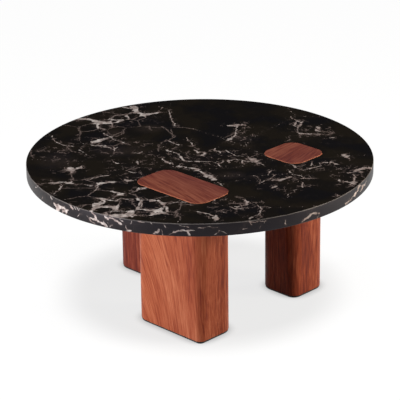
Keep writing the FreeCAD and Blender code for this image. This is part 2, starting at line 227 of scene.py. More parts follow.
class Sheet:
    """A node tree that is written as Python expressions."""

    def __init__(self, tree):
        self.tree = tree

    def node(self, kind, settings=None, sockets=None, out=0):
        """Add a node: its settings first, then the values or links of its sockets. Gives one output."""
        node = self.tree.nodes.new(kind)
        for name, value in (settings or {}).items():
            if name == "stops":
                self.set_stops(node.color_ramp, value)
            else:
                setattr(node, name, value)
        for name, value in (sockets or {}).items():
            if isinstance(value, Socket):
                self.tree.links.new(value.socket, node.inputs[name])
            else:
                node.inputs[name].default_value = value
        return None if out is None else Socket(self, node.outputs[out])

    @staticmethod
    def set_stops(ramp, stops):
        """Give a colour ramp its places and colours."""
        while len(ramp.elements) < len(stops):
            ramp.elements.new(1)
        for element, (place, colour) in zip(ramp.elements, stops):
            element.position = place
            element.color = (*colour, 1)

    def math(self, operation, *values):
        return self.node("ShaderNodeMath", {"operation": operation}, dict(enumerate(values)))

    def most(self, first, *others):
        """The greatest of several values."""
        for other in others:
            first = self.math("MAXIMUM", first, other)
        return first

    def least(self, first, *others):
        """The least of several values."""
        for other in others:
            first = self.math("MINIMUM", first, other)
        return first

    def join(self, first, second, fillet):
        """The lesser of two distances, eased over a fillet where they meet."""
        return self.math("SMOOTH_MIN", first, second, fillet)

    def vector(self, operation, *values, out="Vector"):
        return self.node("ShaderNodeVectorMath", {"operation": operation}, dict(enumerate(values)), out)

    def between(self, share, start, end):
        """A place on the straight way from start to end."""
        settings = {"data_type": "VECTOR", "clamp_factor": True}
        return self.node("ShaderNodeMix", settings, {0: share, 4: start, 5: end}, 1)

    def mix(self, factor, first, second):
        """Colours mixed by a factor."""
        colours = [c if isinstance(c, Socket) else (*c, 1) for c in (first, second)]
        sockets = {0: factor, 6: colours[0], 7: colours[1]}
        return self.node("ShaderNodeMix", {"data_type": "RGBA"}, sockets, 2)

    def ease(self, value, low, high, start=0.0, end=1.0):
        """A smooth step: start where value is low, end where it is high."""
        settings = {"interpolation_type": "SMOOTHSTEP", "clamp": True}
        sockets = {"Value": value, "From Min": low, "From Max": high, "To Min": start, "To Max": end}
        return self.node("ShaderNodeMapRange", settings, sockets)

    def object_place(self, location=(0, 0, 0), turn=(0, 0, 0), scale=PER_MM):
        """Object coordinates, scaled to millimetres or otherwise, then turned, then moved."""
        place = self.node("ShaderNodeTexCoord", out="Object")
        sockets = {"Vector": place, "Location": location, "Rotation": turn, "Scale": scale}
        return self.node("ShaderNodeMapping", {"vector_type": "POINT"}, sockets)

    def noise(self, place, scale, detail=2.0, roughness=0.5, out=0, space="3D"):
        sockets = {"Vector": place, "Scale": scale, "Detail": detail, "Roughness": roughness}
        return self.node("ShaderNodeTexNoise", {"noise_dimensions": space}, sockets, out)

    def wander(self, place, scale, reach, detail=2.0):
        """A place in the plan moved about by noise, up to about half the reach each way."""
        noise = self.noise(place, scale, detail, out=1, space="2D")
        middle = self.vector("SUBTRACT", noise, (0.5, 0.5, 0.5))
        return self.vector("MULTIPLY_ADD", middle, (reach, reach, 0), place)

    def parts(self, place):
        """The three numbers of a place."""
        return [self.node("ShaderNodeSeparateXYZ", None, {0: place}, axis) for axis in range(3)]

    def point(self, x, y, z):
        return self.node("ShaderNodeCombineXYZ", None, {0: x, 1: y, 2: z})


class Finish(Sheet):
    """A material with one Principled shader."""

    def __init__(self, name, **fixed):
        self.material = bpy.data.materials.new(name)
        self.material.use_nodes = True
        super().__init__(self.material.node_tree)
        self.shader = self.tree.nodes["Principled BSDF"]
        for name, value in fixed.items():
            self.shader_socket(name).default_value = value

    def shader_socket(self, name):
        """The shader's input that is called Specular IOR Level for specular_ior_level, and so on."""
        return self.shader.inputs[name.replace("_", " ").title().replace("Ior", "IOR")]

    def feed(self, **sockets):
        """Link what varies over the surface to the shader."""
        for name, value in sockets.items():
            self.tree.links.new(value.socket, self.shader_socket(name))
        return self.material

    def bump(self, height, strength, depth):
        sockets = {"Height": height, "Strength": strength, "Distance": depth}
        return self.node("ShaderNodeBump", None, sockets)


# Marble


# Veins that can be told apart by eye. Their routes run over the disc in millimetres from its middle,
# along two axes that are turned from X and Y by VEIN_TURN.
VEIN_TURN = math.radians(44.7)
BOLD_VEINS = (
    ((-292, 264), (-270, 262), (-254, 245)),
    ((-250, 240), (-236, 234), (-222, 236)),
    ((-158, 345), (-160, 328), (-154, 312)),
    ((-140, 290), (-122, 288), (-112, 280), (-108, 266)),
    ((-122, 290), (-108, 300)),
    ((-105, -336), (-95, -343), (-78, -340)),
    ((165, -152), (180, -152), (200, -138)),
    ((326, -172), (345, -185)),
    ((0, 28), (12, 24), (10, 12)),
    ((-312, -78), (-297, -79), (-284, -70), (-275, -62)),
    ((78, 202), (90, 200)),
    ((98, 207), (110, 205)),
    ((-216, -158), (-204, -152)),
    ((-222, -292), (-205, -297), (-186, -298)),
    ((284, 182), (286, 168)),
    ((-245, 107), (-235, 108)),
    ((-196, -346), (-170, -345), (-158, -338)),
)
CLEAR_VEINS = (
    ((-254, 245), (-247, 228), (-245, 208), (-231, 190)),
    ((-222, 236), (-202, 236), (-187, 248)),
    ((-177, 290), (-175, 275), (-170, 262)),
    ((-154, 312), (-146, 300), (-138, 290)),
    ((-205, 345), (-185, 343), (-162, 335)),
    ((-208, 255), (-196, 250)),
    ((-212, 138), (-222, 125), (-236, 113)),
    ((-232, 78), (-217, 66), (-200, 53), (-191, 66)),
    ((-70, 38), (-60, 29), (-50, 17), (-42, -5), (-34, -28)),
    ((-85, -12), (-77, -30), (-68, -44)),
    ((-48, -58), (-38, -66), (-20, -74), (-5, -88), (8, -107), (18, -126), (31, -143)),
    ((-200, -26), (-190, -36)),
    ((-142, -28), (-140, -42)),
    ((-34, -30), (-5, -33), (25, -32)),
    ((35, -35), (40, -50), (43, -64)),
    ((-170, -137), (-156, -149)),
    ((-143, -207), (-136, -194), (-122, -188)),
    ((-195, -210), (-184, -219), (-172, -231)),
    ((-222, -248), (-212, -252), (-208, -268), (-217, -283), (-231, -276)),
    ((-224, -296), (-232, -306), (-238, -320)),
    ((-186, -298), (-188, -312), (-183, -319)),
    ((-158, -338), (-151, -326)),
    ((-157, -340), (-148, -352), (-145, -362)),
    ((-138, -258), (-127, -268), (-128, -288), (-133, -306)),
    ((-118, -253), (-108, -267), (-92, -266), (-84, -277), (-77, -290)),
    ((-133, -312), (-115, -323), (-92, -320), (-82, -303)),
    ((-78, -340), (-70, -328), (-74, -303)),
    ((95, -266), (103, -282), (99, -297), (80, -308)),
    ((-330, -152), (-300, -150), (-286, -157)),
    ((236, 228), (247, 220), (243, 200), (234, 183), (228, 197), (233, 215), (236, 228)),
    ((85, 150), (83, 132), (72, 112)),
    ((346, -125), (347, -145), (342, -170)),
    ((336, -116), (352, -112), (368, -112)),
    ((384, -88), (366, -92), (354, -102)),
    ((206, -57), (214, -66), (218, -76)),
    ((283, -50), (300, -53), (313, -62)),
    ((334, -2), (337, -15), (341, -28)),
    ((170, -194), (158, -204)),
    ((28, -362), (36, -374)),
    ((118, -358), (104, -374)),
    ((312, -156), (313, -164)),
    ((-36, -310), (-35, -320)),
    ((66, -30), (66, -42)),
    ((-12, 42), (-2, 30)),
    ((110, -6), (117, -22), (133, -42)),
    ((240, 145), (262, 139), (285, 136)),
)
FINE_VEINS = (
    ((-160, 308), (-176, 296), (-204, 282), (-220, 258)),
    ((-75, 315), (-70, 280), (-66, 243), (-59, 209)),
    ((-210, 235), (-208, 206)),
    ((-228, 165), (-218, 150), (-212, 138), (-200, 118), (-176, 95)),
    ((-258, 88), (-244, 78), (-232, 78)),
    ((-350, 150), (-350, 128), (-331, 97), (-318, 84), (-294, 75)),
    ((-30, 125), (-27, 105), (-18, 88), (-16, 68)),
    ((-72, 106), (-62, 92), (-49, 76)),
    ((-280, 50), (-268, 34), (-261, 20)),
    ((-262, -134), (-252, -140), (-243, -128), (-223, -115), (-208, -112)),
    ((-257, -166), (-247, -173), (-232, -172), (-229, -185), (-233, -200)),
    ((-232, -172), (-216, -160)),
    ((-310, -160), (-306, -172), (-316, -195)),
    ((-326, -222), (-320, -206)),
    ((-205, -256), (-182, -264), (-176, -249), (-162, -257), (-150, -258)),
    ((-188, -312), (-194, -328), (-195, -344)),
    ((-194, -325), (-160, -325)),
    ((-68, -284), (-52, -277), (-28, -277)),
    ((65, -30), (78, -23), (95, -26), (106, -36), (130, -41)),
    ((97, -28), (98, -48)),
    ((25, -30), (38, -46), (50, -44), (56, -30)),
    ((62, 38), (67, 24), (80, 6), (100, -5)),
    ((38, 52), (35, 38), (46, 32), (47, 20)),
    ((133, -42), (146, -57)),
    ((276, -55), (278, -68), (252, -86), (230, -97)),
    ((258, -50), (252, -70)),
    ((161, -95), (153, -122)),
    ((165, -126), (156, -148), (132, -172)),
    ((203, -98), (208, -122), (222, -128), (233, -140), (232, -148)),
    ((226, -147), (251, -147)),
    ((198, -217), (208, -217), (216, -209)),
    ((193, -240), (190, -256)),
    ((120, -298), (129, -309), (132, -320), (125, -350), (116, -360)),
    ((-6, -330), (12, -341), (26, -360)),
    ((64, -306), (76, -316), (94, -318)),
    ((33, -260), (31, -274)),
    ((222, 263), (222, 252), (236, 231)),
    ((234, 182), (232, 152), (240, 145)),
    ((88, 198), (88, 176), (84, 150)),
    ((40, -166), (48, -186)),
    ((228, -170), (227, -196)),
    ((300, -246), (298, -256)),
    ((-94, 326), (-90, 340)),
    ((-160, -90), (-148, -100), (-138, -94)),
    ((-150, 30), (-140, 25), (-135, 37)),
    ((305, 112), (316, 113)),
)
FAINT_VEINS = (
    ((-92, 205), (-75, 176), (-68, 153), (-59, 134), (-70, 113), (-88, 97), (-94, 80)),
    ((-94, 78), (-95, 55), (-96, 36)),
    ((-290, 212), (-287, 185), (-285, 165), (-292, 150)),
    ((-212, 138), (-194, 143), (-182, 160), (-184, 182)),
    ((-176, 95), (-165, 82)),
    ((-128, 87), (-110, 88)),
    ((-393, 55), (-393, 28), (-386, 8)),
    ((98, 170), (80, 150), (62, 125)),
    ((105, 125), (107, 112), (97, 102)),
    ((285, 136), (300, 130), (318, 140), (320, 152)),
    ((240, 145), (241, 118)),
    ((203, 92), (212, 100), (212, 108)),
    ((-305, 60), (-298, 44), (-288, 38)),
    ((-335, 36), (-316, 38), (-308, 28)),
    ((-120, 205), (-119, 192), (-112, 178)),
    ((-330, -150), (-345, -155), (-366, -154)),
    ((-135, -330), (-110, -330)),
    ((-145, -225), (-140, -238)),
    ((-55, -338), (-51, -350), (-53, -364)),
    ((-165, -85), (-155, -70)),
)
# Rounded black clasts that the calcite runs between: middle and half widths along the same two axes.
CLASTS = (
    ((-238, 282), (29, 24)),
    ((-192, 318), (30, 15)),
    ((-195, 272), (15, 9)),
    ((-161, 283), (12, 13)),
    ((-122, 325), (24, 23)),
    ((-138, 267), (12, 9)),
    ((-283, 236), (27, 15)),
    ((-265, 205), (15, 24)),
    ((-225, 211), (11, 10)),
    ((-177, 228), (22, 15)),
    ((-250, 153), (25, 27)),
    ((-320, 155), (27, 45)),
    ((-197, 182), (10, 17)),
    ((-130, 150), (58, 42)),
    ((-212, 98), (14, 14)),
    ((-240, 50), (38, 22)),
    ((-168, 55), (28, 28)),
    ((-104, 250), (34, 42)),
    ((-22, 270), (42, 75)),
    ((-38, 150), (22, 40)),
    ((-195, -277), (14, 12)),
    ((-161, -292), (14, 26)),
    ((-107, -290), (20, 18)),
    ((-209, -318), (14, 8)),
    ((-177, -331), (15, 6)),
    ((-117, -336), (7, 9)),
    ((-141, -274), (5, 13)),
    ((-57, -304), (13, 22)),
    ((-92, -363), (28, 11)),
    ((-253, -260), (24, 24)),
    ((-246, -299), (11, 13)),
    ((-218, -224), (26, 18)),
    ((-182, -186), (36, 23)),
    ((-108, -229), (30, 22)),
    ((-158, -241), (14, 7)),
    ((-275, -212), (36, 28)),
    ((-335, -186), (17, 18)),
    ((-28, -325), (18, 32)),
    ((-65, -258), (28, 14)),
    ((-320, -118), (30, 26)),
    ((-268, -110), (20, 20)),
    ((-218, -135), (28, 12)),
    ((-262, -152), (10, 8)),
    ((-272, -178), (26, 10)),
)
# Where a lace of small veins breaks the ground up: middle and half widths along the same two axes.
LACE_ZONES = (
    ((-190, -295), (95, 75)),
    ((-90, -305), (75, 65)),
    ((-310, -160), (65, 35)),
    ((-235, -165), (55, 45)),
    ((-185, 265), (120, 65)),
    ((30, -15), (130, 60)),
    ((-85, 0), (70, 75)),
    ((-220, 85), (95, 65)),
    ((-315, 40), (80, 60)),
    ((-150, -85), (65, 55)),
    ((262, -65), (70, 35)),
    ((185, -165), (75, 60)),
    ((340, -140), (55, 70)),
    ((265, 140), (70, 65)),
    ((85, -300), (65, 55)),
    ((95, 120), (40, 55)),
)
# Brown haze in the ground: middle and half widths.
HAZE_ZONES = (
    ((70, -120), (34, 26)),
    ((-142, -335), (20, 16)),
    ((262, 138), (28, 16)),
    ((-120, 190), (44, 34)),
    ((-200, 165), (28, 24)),
    ((95, 120), (26, 26)),
    ((-330, -20), (50, 60)),
    ((-180, 40), (70, 40)),
)
# Veins on the rim: degrees round the disc, anticlockwise from the first axis, and depth below the top.
# The degrees run on past 360 round the far half.
RIM_BOLD_VEINS = (
    ((217, 17), (218.5, 22), (217.8, 27)),
    ((218.6, 27), (220.2, 18), (222, 16)),
    ((221, 27), (222.6, 21), (224, 16)),
    ((241, 3), (242.5, 8), (245, 14)),
    ((246.3, 27.5), (248, 27)),
    ((266, 16), (266.5, 25)),
    ((304, 22), (306, 17), (308.5, 16)),
    ((331, 1), (331.6, 8), (331, 14), (328.5, 17), (326, 20), (323, 24)),
    ((332, 5), (335, 11), (337, 14)),
    ((474, 1), (475.5, 8), (474.5, 14)),
    ((497, 1), (498.5, 7), (501, 12), (502, 19)),
)
RIM_CLEAR_VEINS = (
    ((214.5, 1), (215.3, 5)),
    ((216.5, 15), (219, 14), (221, 16)),
    ((222.8, 28), (223.2, 22)),
    ((225, 1), (225.4, 5)),
    ((233, 16), (235.5, 16), (236.5, 19)),
    ((238.6, 14), (239, 21), (239.4, 28)),
    ((239, 5), (241, 4)),
    ((240.2, 17), (241.2, 26)),
    ((224.5, 2), (226, 8)),
    ((226.5, 1), (227.5, 9)),
    ((228, 3), (229, 8)),
    ((232, 15), (233, 21), (236, 27)),
    ((234, 1), (235.5, 8), (236, 14)),
    ((236.5, 17), (238, 20), (240, 27)),
    ((239, 2), (240.5, 8)),
    ((250, 1), (252.5, 4)),
    ((257.3, 15), (256.5, 21), (255.8, 26)),
    ((260.5, 25), (262, 19), (264.5, 16), (268, 14)),
    ((263.5, 4), (266.5, 7)),
    ((303, 25), (304, 22)),
    ((308.5, 16), (310, 17), (309.5, 25)),
    ((333, 19), (335, 14)),
    ((336.5, 12), (339, 7)),
    ((386, 26), (388, 18), (391, 15), (393, 9)),
    ((420, 3), (421.5, 10), (420.5, 17)),
    ((452, 24), (454, 17), (457, 15)),
    ((474.5, 14), (477, 21), (478, 28)),
    ((480, 1), (481, 9), (479, 17), (480, 26)),
    ((505, 4), (503, 13), (504, 22)),
    ((523, 2), (525, 10), (524, 18)),
)
RIM_FINE_VEINS = (
    ((203, 8), (205, 1)),
    ((208, 27), (209, 19)),
    ((229, 1), (229.2, 5)),
    ((229.5, 14), (228, 22)),
    ((242, 22), (241, 28)),
    ((244, 3), (245.5, 7)),
    ((254.6, 1), (255, 6)),
    ((259, 4), (259.6, 10)),
    ((285.2, 2), (285.6, 8)),
    ((246.5, 14), (246.8, 25)),
    ((248.2, 2), (248, 9)),
    ((258, 15), (258.3, 26)),
    ((269, 8), (270.5, 11), (272, 8), (275, 10)),
    ((274, 24), (275.3, 16), (277.5, 26)),
    ((283, 18), (284.5, 17)),
    ((285, 1), (287.5, 3), (290.5, 5)),
    ((290.2, 3), (289.5, 9)),
    ((288.5, 12), (288, 18)),
    ((297, 13), (297, 25)),
    ((302.5, 26), (303.5, 19)),
    ((372, 4), (374, 11)),
    ((404, 14), (405, 24)),
    ((431, 2), (433, 8)),
    ((438, 20), (440, 26)),
    ((464, 5), (466, 13), (465, 22)),
    ((486, 2), (487, 12)),
    ((492, 26), (491, 16)),
    ((511, 27), (513, 19), (512, 11)),
)
# The rim is unrolled into a row of its own, well away from the plan, so that one set of nodes draws both.
RIM_ROW = -1000.0
# Where a search for the nearest vein or clast begins.
FAR = 1000.0


def group_sheet(name, vectors, numbers, results):
    """A new group of nodes: its sheet, with its inputs as sockets, vectors first."""
    group = bpy.data.node_groups.new(name, "ShaderNodeTree")
    inputs = {item: "NodeSocketVector" for item in vectors} | {item: "NodeSocketFloat" for item in numbers}
    for item, socket_type in inputs.items():
        group.interface.new_socket(item, in_out="INPUT", socket_type=socket_type)
    for item in results:
        group.interface.new_socket(item, in_out="OUTPUT", socket_type="NodeSocketFloat")
    sheet = Sheet(group)
    return sheet, [sheet.node("NodeGroupInput", out=i) for i in range(len(inputs))]


def vein_run():
    """A group of nodes: the lesser of a known distance and the distance to one straight run of a vein.

    The two meet smoothly over a given fillet, so that veins widen where they join. Places in the plan have
    a third number of 1, so that one product with the pull gives the share of the run.
    """
    vectors, numbers = ("Place", "Start", "End", "Pull"), ("Nearest", "Fillet")
    sheet, inputs = group_sheet("vein_run", vectors, numbers, ("Nearest",))
    place, start, end, pull, nearest, fillet = inputs
    share = sheet.vector("DOT_PRODUCT", place, pull, out="Value")
    gap = sheet.vector("DISTANCE", place, sheet.between(share, start, end), out="Value")
    sheet.node("NodeGroupOutput", None, {0: sheet.join(nearest, gap, fillet)}, None)
    return sheet.tree


def clast_step():
    """A group of nodes: the two least distances to rounded clasts, with one more clast taken in."""
    vectors, numbers = ("Place", "Stretch", "Shift"), ("Size", "First", "Second")
    sheet, inputs = group_sheet("clast_step", vectors, numbers, ("First", "Second"))
    place, stretch, shift, size, first, second = inputs
    out = sheet.vector("LENGTH", sheet.vector("MULTIPLY_ADD", place, stretch, shift), out="Value")
    gap = (out - 1) * size
    least = {0: sheet.least(first, gap), 1: sheet.least(second, sheet.most(first, gap))}
    sheet.node("NodeGroupOutput", None, least, None)
    return sheet.tree


def oval(middle, half):
    """The stretch and the shift that turn an oval of the plan into a circle of radius 1."""
    stretch = (1 / half[0], 1 / half[1], 0)
    shift = (-middle[0] / half[0], -middle[1] / half[1], 0)
    return stretch, shift


class Marble(Finish):
    """Polished black marble with broken cream veins, and a dry sawn face below, drawn in millimetres."""

    # Half widths of the veins, before they swell and pinch
    BOLD_HALF = 3.2
    CLEAR_HALF = 1.7
    # Fillets where veins meet, and where calcite meets what fills the borders of clasts and cells
    BOLD_FILLET = 10
    CLEAR_FILLET = 7
    FINE_FILLET = 3
    BODY_FILLET = 6
    BORDER_FILLET = 3
    CELL_FILLET = 4
    THIN_FILLET = 2
    # Sizes of the cells that the stone broke into: beside the veins, then between the hairlines
    BROKEN_CELL = 30
    CRACK_CELL = 26
    SPLINTER_CELL = 11
    # How strongly hairlines and sawn stone show, and how far painted shade darkens ground and calcite on
    # the rim
    HAIR_SHARE = 0.65
    DRY_SHARE = 0.75
    RIM_PAINTED_SHADE = 0.85
    RIM_PAINTED_VEIN_SHADE = 0.2
    # Tint and level of the reflections
    GLOSS_TINT = (0.97, 0.86, 1, 1)
    GLOSS_LEVEL = 0.3

    def __init__(self, settings):
        gloss = {"specular_tint": self.GLOSS_TINT, "specular_ior_level": self.GLOSS_LEVEL}
        super().__init__("polished_marble", **gloss)
        low, high = [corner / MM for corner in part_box("marble_top")]
        self.settings = settings
        self.radius = high.x
        self.thickness = high.z - low.z
        self.edge = settings.edge_radius / MM
        self.spot = self.object_place(turn=(0, 0, -VEIN_TURN))
        self.x, y, height = self.parts(self.spot)
        self.depth = high.z - height
        below_edge = self.ease(self.depth, 0.4 * self.edge, 0.6 * self.edge)
        self.side = below_edge * self.ease(self.depth, self.thickness - 0.3, self.thickness - 0.5)
        unrolled = self.point(self.math("ARCTAN2", y, self.x) * self.radius, RIM_ROW - self.depth, 1)
        self.plan = self.between(self.side, self.point(self.x, y, 1), unrolled)
        self.eased = self.wander(self.plan, scale=0.02, reach=10)
        self.bent = self.wander(self.eased, scale=0.09, reach=7, detail=3)
        self.torn = self.wander(self.bent, scale=0.4, reach=1.4)
        self.measure()

    def cloud(self, scale, detail=2):
        """Noise over the plan, its scale in waves to the millimetre."""
        return self.noise(self.plan, scale, detail, space="2D")

    def cells(self, size, place, feature="DISTANCE_TO_EDGE"):
        """Distances within broken cells of about one size."""
        options = {"voronoi_dimensions": "2D", "feature": feature}
        return self.node("ShaderNodeTexVoronoi", options, {"Vector": place, "Scale": 1 / size}) * size

    def on_rim(self, routes):
        """Routes on the rim, laid out in the row where it is unrolled."""
        return [
            [(math.radians(turn - 360) * self.radius, RIM_ROW - depth) for turn, depth in route]
            for route in routes
        ]

    def route_distance(self, group, routes, fillet):
        """How far a place lies from the nearest of several routes."""
        nearest = FAR
        for route in routes:
            points = [Vector((*point, 1)) for point in route]
            for start, end in zip(points, points[1:]):
                run = end - start
                pull = run / run.length_squared
                pull.z = -start.dot(pull)
                sockets = {"Place": self.torn, "Start": start, "End": end, "Pull": pull}
                sockets |= {"Nearest": nearest, "Fillet": fillet}
                nearest = self.node("ShaderNodeGroup", {"node_tree": group}, sockets)
        return nearest

    def clast_distances(self):
        """How far a place lies from the nearest clast, negative inside it, and from the next one."""
        group = clast_step()
        first = second = FAR
        for middle, half in CLASTS:
            stretch, shift = oval(middle, half)
            sockets = {"Place": self.torn, "Stretch": stretch, "Shift": shift}
            sockets |= {"Size": math.sqrt(half[0] * half[1]), "First": first, "Second": second}
            step = self.node("ShaderNodeGroup", {"node_tree": group}, sockets)
            first, second = [Socket(self, output) for output in step.socket.node.outputs]
        return first, second

    def zone_distance(self, zones):
        """How far out a place lies in the nearest of several oval zones, 1 at their edges."""
        places = [self.vector("MULTIPLY_ADD", self.bent, *oval(*zone)) for zone in zones]
        return self.least(*[self.vector("LENGTH", place, out="Value") for place in places])

    def measure(self):
        """Find the distances to the veins and the clasts that can be told apart."""
        group = vein_run()
        bold = [*BOLD_VEINS, *self.on_rim(RIM_BOLD_VEINS)]
        clear = [*CLEAR_VEINS, *self.on_rim(RIM_CLEAR_VEINS)]
        fine = [*FINE_VEINS, *self.on_rim(RIM_FINE_VEINS)]
        self.bold = self.route_distance(group, bold, self.BOLD_FILLET)
        self.clear = self.route_distance(group, clear, self.CLEAR_FILLET)
        self.fine = self.route_distance(group, fine, self.FINE_FILLET)
        self.faint = self.route_distance(group, FAINT_VEINS, self.FINE_FILLET)
        self.clast, next_clast = self.clast_distances()
        self.known = self.ease(self.clast, 22, 8)
        self.border = (next_clast - self.clast) * 0.5

    def calcite_body(self):
        """How far a place lies outside the calcite, negative inside it, and how much calcite shows there.

        Calcite fills the routes, and beside them the borders between clasts and the corners and borders of
        broken cells. The middles of clasts push it out.
        """
        swell = self.ease(self.cloud(0.045), 0.32, 0.68, 0.4, 1.7) * (1 - 0.5 * self.side)
        ragged = (self.cloud(0.17, 4) - 0.5) * (8 - 6 * self.side)
        bold, clear = self.bold - swell * self.BOLD_HALF, self.clear - swell * self.CLEAR_HALF
        body = self.join(bold, clear, self.BODY_FILLET) + self.ease(self.clast, -1, -7) * 5
        near = (self.ease(self.bold, 20, 2) * 0.75 + self.ease(self.clear, 13, 0) * 0.45) * (1 - self.side)
        filled = (near * 2.9 + self.ease(self.clast, 0, 8) * 6 * near) * swell
        body = self.join(body, self.border + 1 - filled, self.BORDER_FILLET)
        loose = near * (1 - self.known)
        cell_border = self.cells(self.BROKEN_CELL, self.torn)
        body = self.join(body, cell_border + 6 - loose * 7, self.CELL_FILLET) + ragged
        body = self.join(body, self.fine - swell + ragged * 0.7, self.THIN_FILLET) + self.side * 0.1
        cell_middle = self.cells(self.BROKEN_CELL, self.torn, "F1")
        corners = self.ease(cell_middle + loose * 6.8, 25, 26.2) * self.ease(loose, 0.05, 0.3)
        return body, self.most(self.ease(body, 0.5, -0.5), corners)

    def hairlines(self, lace):
        """Hair-thin veins: cracks in the lace and beside larger veins, rings round clasts, faint routes."""
        patchy = self.ease(self.cloud(0.025, 3), 0.4, 0.6) * (0.15 + 0.85 * lace)
        beside = self.most(
            self.ease(self.bold, 38, 5),
            self.ease(self.clear, 24, 2),
            self.ease(self.fine, 20, 1) * 0.7,
        )
        shaken = self.wander(self.eased, scale=0.3, reach=1.5)
        cracks = self.most(
            self.ease(self.cells(self.CRACK_CELL, shaken), 1.5, 0.4),
            self.ease(self.cells(self.SPLINTER_CELL, shaken), 0.9, 0.2) * 0.6,
        )
        cracks = cracks * (1 - 0.75 * self.ease(self.clast, 0, -6))
        sparse = self.ease(self.cloud(0.05, 3), 0.5, 0.6)
        cracks = cracks * sparse * self.ease(self.most(patchy, beside * (1 - self.side)), 0.1, 0.6)
        dotted = self.ease(self.cloud(0.22, 4), 0.4, 0.62)
        rings = self.ease(self.border, 2.1, 0.4) * self.known * (0.25 + 0.75 * dotted)
        faint = self.ease(self.faint, 3.5, 0.5) * (0.1 + 0.9 * dotted)
        return self.most(cracks, rings, faint)

    def ground(self, body, lace):
        """Black ground with olive and bluish patches, brown hazes and stains, darkened on the rim as
        painted shade.
        """
        clouds = self.cloud(0.011, 3)
        colour = self.mix(self.ease(clouds, 0.48, 0.62), self.settings.ground[:], self.settings.olive[:])
        colour = self.mix(self.ease(clouds, 0.46, 0.36), colour, self.settings.blue[:])
        # Painted shade: the upright rim is mixed towards black.
        colour = self.mix(self.side * self.RIM_PAINTED_SHADE, colour, BLACK)
        haze = self.ease(self.zone_distance(HAZE_ZONES), 1.2, 0.2) * self.cloud(0.12, 4)
        speckle = self.ease(self.cloud(0.5, 3), 0.5, 0.75)
        halo = self.ease(body, 5, 0) * self.ease(self.cloud(0.13, 3), 0.35, 0.65)
        stained = haze * 0.35 + halo * 0.14 + speckle * (0.06 + 0.12 * lace)
        return self.mix(stained, colour, self.settings.stain[:])

    def calcite(self, body):
        """Cream calcite, stained where it is thin and far along the first axis, and darkened on the rim as
        painted shade.
        """
        bright = self.ease(self.cloud(0.06, 4), 0.38, 0.62) * 0.7 + self.ease(body, 0, -2.5) * 0.3
        bright = bright * self.ease(self.x, -100, 200, 1.0, 0.55)
        colour = self.mix(bright, self.settings.vein_shade[:], self.settings.vein[:])
        # Painted shade: calcite on the rim is mixed towards black.
        return self.mix(self.side * self.RIM_PAINTED_VEIN_SHADE, colour, BLACK)

    def draw(self):
        """Put veins, ground, worn edges with a painted highlight, and sawn underside together."""
        settings, depth, edge = self.settings, self.depth, self.edge
        lace = self.ease(self.zone_distance(LACE_ZONES), 1.25, 0.5)
        body, web = self.calcite_body()
        broken = self.ease(self.cloud(0.1, 3), 0.36, 0.54)
        hair = self.hairlines(lace) * self.HAIR_SHARE
        colour = self.mix(hair, self.ground(body, lace), settings.vein_shade[:])
        colour = self.mix(web * (0.65 + 0.35 * broken), colour, self.calcite(body))

        # The upper arris turns paler: wear, and a painted highlight along the edge.
        edge_wear_and_highlight = self.ease(depth, 0.02 * edge, 0.2 * edge) * self.ease(depth, 1.1 * edge, 0.7 * edge)
        wear_and_painted_highlight = edge_wear_and_highlight * self.ease(self.cloud(0.02, 3), 0.35, 0.65, 0.05, 0.2)
        colour = self.mix(wear_and_painted_highlight, colour, settings.vein[:])
        sawn = self.ease(depth, self.thickness - 0.3 * edge, self.thickness - 0.1 * edge)
        saw_marks = self.noise(self.vector("MULTIPLY", self.spot, (0.02, 0.6, 1)), 1, 3)
        dry = self.mix(saw_marks * 0.5, settings.sawn[:], settings.stain[:])
        colour = self.mix(sawn * self.DRY_SHARE, colour, dry)
        honed = self.side * (settings.honed - settings.polish)
        roughness = settings.polish + self.cloud(0.05) * 0.04 + honed + sawn * 0.5 + edge_wear_and_highlight * 0.2
        grit = self.bump(self.noise(self.spot, 1.5, 3) * sawn, 0.2, 0.1 * MM)
        return self.feed(base_color=colour, roughness=roughness, normal=grit)


# Wood


class Board(NamedTuple):
    """What sets one board apart. Pairs hold for the low and the high end of its width."""

    grain: str  # axis that the grain runs along
    seed: int  # which figure it has
    tone: float  # how dark it is
    redness: tuple  # how far it turns to its tint
    lean: tuple = (0.03, 0.05)  # how far its grain leans
    figure: float = 1.0  # how strong its figure is
    tint: str = "purple"  # the colour that it turns to
    band: tuple = None  # a pale band across it: lean, place, half width, strength
    # The pale upper edges are a painted highlight along the eased edges.
    edge_wear_and_highlight: float = 0.0  # how pale its worn upper edges are


LEG_BOARDS = {
    "front_outer": Board("Z", 11, 0.05, (0.0, 0.2), (0.55, 0.05), 0.88, band=(0.51, 175, 55, 0.12)),
    "front_inner": Board("Z", 12, 0.14, (0.28, 0.28), figure=1.5),
    "right_outer": Board("Z", 13, 0.1, (0.22, 0.28), figure=1.4),
    # The right inner board is darker partly as painted shade of its shaded near corner.
    "right_inner": Board("Z", 14, 0.27, (0.15, 0.2), figure=1.4),
    # The rear boards are darker and more purple partly as painted shade: the rear leg stands deep under the
    # table.
    "rear_outer": Board("Z", 15, 0.3, (0.75, 0.75), figure=1.8),
    "rear_inner": Board("Z", 16, 0.16, (0.65, 0.65), figure=1.8),
}
# The inlays turn violet partly as painted sheen.
INLAY_BOARDS = {
    "front": Board("X", 3, 0.0, (0.45, 0.65), (0.25, 0.1), 1.7, "violet", edge_wear_and_highlight=0.6),
    "right": Board("Y", 4, 0.0, (0.55, 0.65), (0.1, 0.25), 1.6, "violet", edge_wear_and_highlight=0.6),
}
# Where the four tones of the wood stand on the scale of its figure, from deep to light.
TONE_STOPS = (0.0, 0.28, 0.5, 0.72)
# How far one step of the seed moves a board through the drift, the rows and the layers of the figure.
SEED_DRIFT = 7
SEED_ROW = 97
SEED_LAYER = 53


